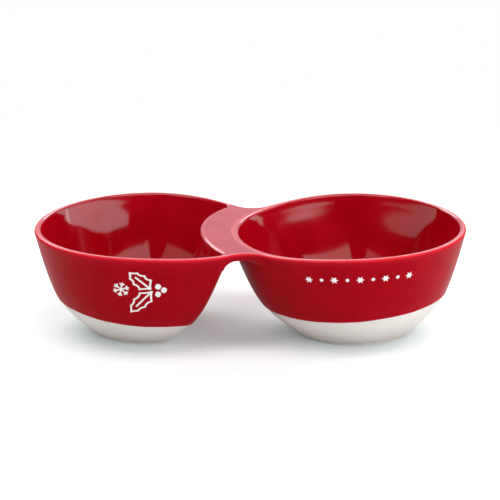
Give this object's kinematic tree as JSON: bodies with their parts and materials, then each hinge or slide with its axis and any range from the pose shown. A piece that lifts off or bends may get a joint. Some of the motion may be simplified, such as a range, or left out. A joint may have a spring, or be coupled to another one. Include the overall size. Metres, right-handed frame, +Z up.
{
  "type": "double snack bowl",
  "caption": "Joined stoneware snack bowls, a round one and a crescent bridged at the rim: gloss red inside, satin red outside, bare base, white holly, snowflake and star marks.",
  "frame": {"origin": "on the table, under the middle of the overall length and width", "axes": "+X along the length from the crescent bowl to the round bowl, -Y towards the decorated front, +Z up"},
  "size_m": [0.2868, 0.158, 0.0718],
  "materials": {
    "gloss_red_glaze": "gloss",
    "satin_red_glaze": "satin",
    "bare_stoneware": "matte",
    "white_mark": "satin"
  },
  "bodies": {
    "root": {"round_bowl_body": "bare_stoneware", "crescent_bowl_body": "bare_stoneware", "bridge_web": "bare_stoneware", "round_foot_ring": "bare_stoneware", "crescent_foot_ring": "bare_stoneware", "round_liner_glaze": "gloss_red_glaze", "crescent_liner_glaze": "gloss_red_glaze", "bridge_top_glaze": "gloss_red_glaze", "round_outer_glaze": "satin_red_glaze", "crescent_outer_glaze": "satin_red_glaze", "bridge_under_glaze": "satin_red_glaze", "snowflake": "white_mark", "holly_leaf_upper": "white_mark", "holly_leaf_lower": "white_mark", "holly_berry_1": "white_mark", "holly_berry_2": "white_mark", "holly_berry_3": "white_mark", "garland_star_1": "white_mark", "garland_star_2": "white_mark", "garland_star_3": "white_mark", "garland_star_4": "white_mark", "garland_star_5": "white_mark", "garland_dot_1": "white_mark", "garland_dot_2": "white_mark", "garland_dot_3": "white_mark", "garland_dot_4": "white_mark"}
  },
  "joints": []
}
